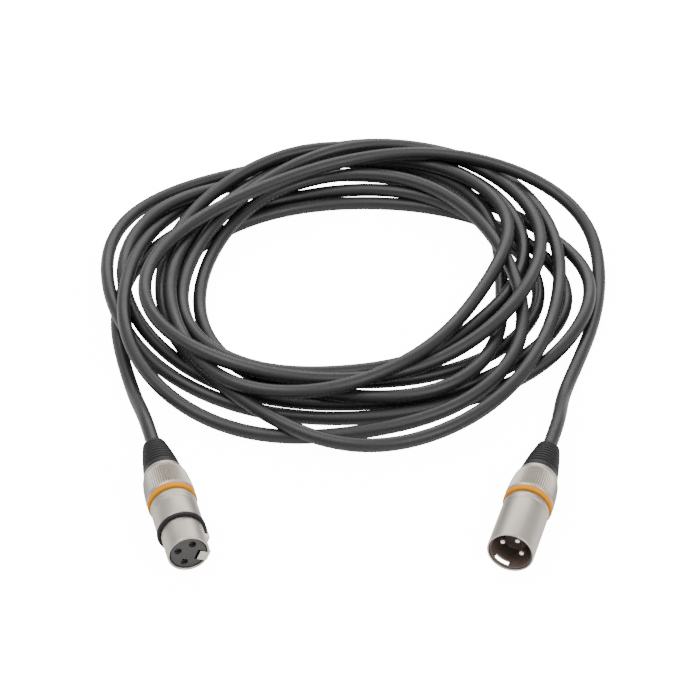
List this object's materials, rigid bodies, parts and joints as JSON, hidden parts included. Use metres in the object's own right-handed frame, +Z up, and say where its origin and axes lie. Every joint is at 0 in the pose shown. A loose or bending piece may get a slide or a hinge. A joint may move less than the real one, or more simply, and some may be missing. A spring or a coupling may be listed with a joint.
{
  "type": "xlr cable coil",
  "caption": "Coiled three-pole microphone lead with a male and a female connector, screw-on collars, rubber boots, colour rings and a sprung latch.",
  "frame": {"origin": "centre of the footprint of the whole lead, on the ground it lies on", "axes": "+Z up, -Y towards the connector mouths, +X towards the male connector"},
  "size_m": [0.2312, 0.3018, 0.0242],
  "materials": {
    "jacket": "satin PVC cable jacket",
    "black_rubber": "matt moulded rubber",
    "satin_nickel": "satin nickel plating",
    "yellow_ring": "semi-gloss orange-yellow plastic",
    "black_insert": "matt moulded plastic",
    "contact_metal": "silver plated, polished",
    "grey_chuck": "matt nylon",
    "spring_steel": "spring steel",
    "wire_red": "PVC insulation",
    "wire_white": "PVC insulation",
    "wire_bare": "bare twisted shield wire"
  },
  "bodies": {
    "coil": {"cable_coil": "jacket"},
    "male_tail": {"male_tail": "jacket"},
    "male_plug": {"male_shell": "satin_nickel", "male_insert": "black_insert", "male_pin_1": "contact_metal", "male_pin_2": "contact_metal", "male_pin_3": "contact_metal", "male_colour_ring": "yellow_ring", "male_chuck": "grey_chuck", "male_jacket_end": "jacket", "male_wire_1": "wire_red", "male_wire_2": "wire_white", "male_wire_3": "wire_bare"},
    "male_boot": {"male_boot": "black_rubber"},
    "male_collar": {"male_collar": "satin_nickel"},
    "female_tail": {"female_tail": "jacket"},
    "female_plug": {"female_housing": "satin_nickel", "female_insert": "black_insert", "female_contact_1": "contact_metal", "female_contact_2": "contact_metal", "female_contact_3": "contact_metal", "female_gasket": "black_rubber", "female_latch_spring": "spring_steel", "female_colour_ring": "yellow_ring", "female_chuck": "grey_chuck", "female_jacket_end": "jacket", "female_wire_1": "wire_red", "female_wire_2": "wire_white", "female_wire_3": "wire_bare"},
    "female_latch": {"female_latch": "satin_nickel"},
    "female_boot": {"female_boot": "black_rubber"},
    "female_collar": {"female_collar": "satin_nickel"}
  },
  "joints": [
    {"name": "male_tail_swing", "type": "hinge", "parent": "coil", "child": "male_tail", "pos_m": [0.09264, -0.03141, 0.003], "axis": [0, 0, 1], "range_deg": [-20, 20]},
    {"name": "male_plug_lift", "type": "hinge", "parent": "male_tail", "child": "male_plug", "pos_m": [0.08317, -0.07475, 0.01015], "axis": [-0.9583, 0.2857, 0], "range_deg": [0, 30]},
    {"name": "male_boot_slide", "type": "slide", "parent": "male_plug", "child": "male_boot", "axis": [0.2857, 0.9583, 0], "range_m": [0, 0.0061]},
    {"name": "male_collar_turn", "type": "hinge", "parent": "male_boot", "child": "male_collar", "pos_m": [0.07272, -0.10982, 0.01015], "axis": [0.2857, 0.9583, 0], "range_deg": [0, 2160]},
    {"name": "female_tail_swing", "type": "hinge", "parent": "coil", "child": "female_tail", "pos_m": [-0.09538, -0.03309, 0.00329], "axis": [0, 0, 1], "range_deg": [-20, 15]},
    {"name": "female_plug_lift", "type": "hinge", "parent": "female_tail", "child": "female_plug", "pos_m": [-0.08457, -0.0727, 0.01015], "axis": [-0.9664, -0.2571, 0], "range_deg": [0, 30]},
    {"name": "female_boot_slide", "type": "slide", "parent": "female_plug", "child": "female_boot", "axis": [-0.2571, 0.9664, 0], "range_m": [0, 0.0061]},
    {"name": "female_collar_turn", "type": "hinge", "parent": "female_boot", "child": "female_collar", "pos_m": [-0.07459, -0.1102, 0.01015], "axis": [-0.2571, 0.9664, 0], "range_deg": [0, 2160]},
    {"name": "female_latch_press", "type": "hinge", "parent": "female_plug", "child": "female_latch", "pos_m": [-0.06134, -0.13409, 0.00718], "axis": [-0.3931, -0.1046, -0.9135], "range_deg": [0, 3.5]}
  ],
  "couplings": [
    {"joint": "male_boot_slide", "follows": "male_collar_turn", "m_per_rad": 0.00015915},
    {"joint": "female_boot_slide", "follows": "female_collar_turn", "m_per_rad": 0.00015915}
  ]
}
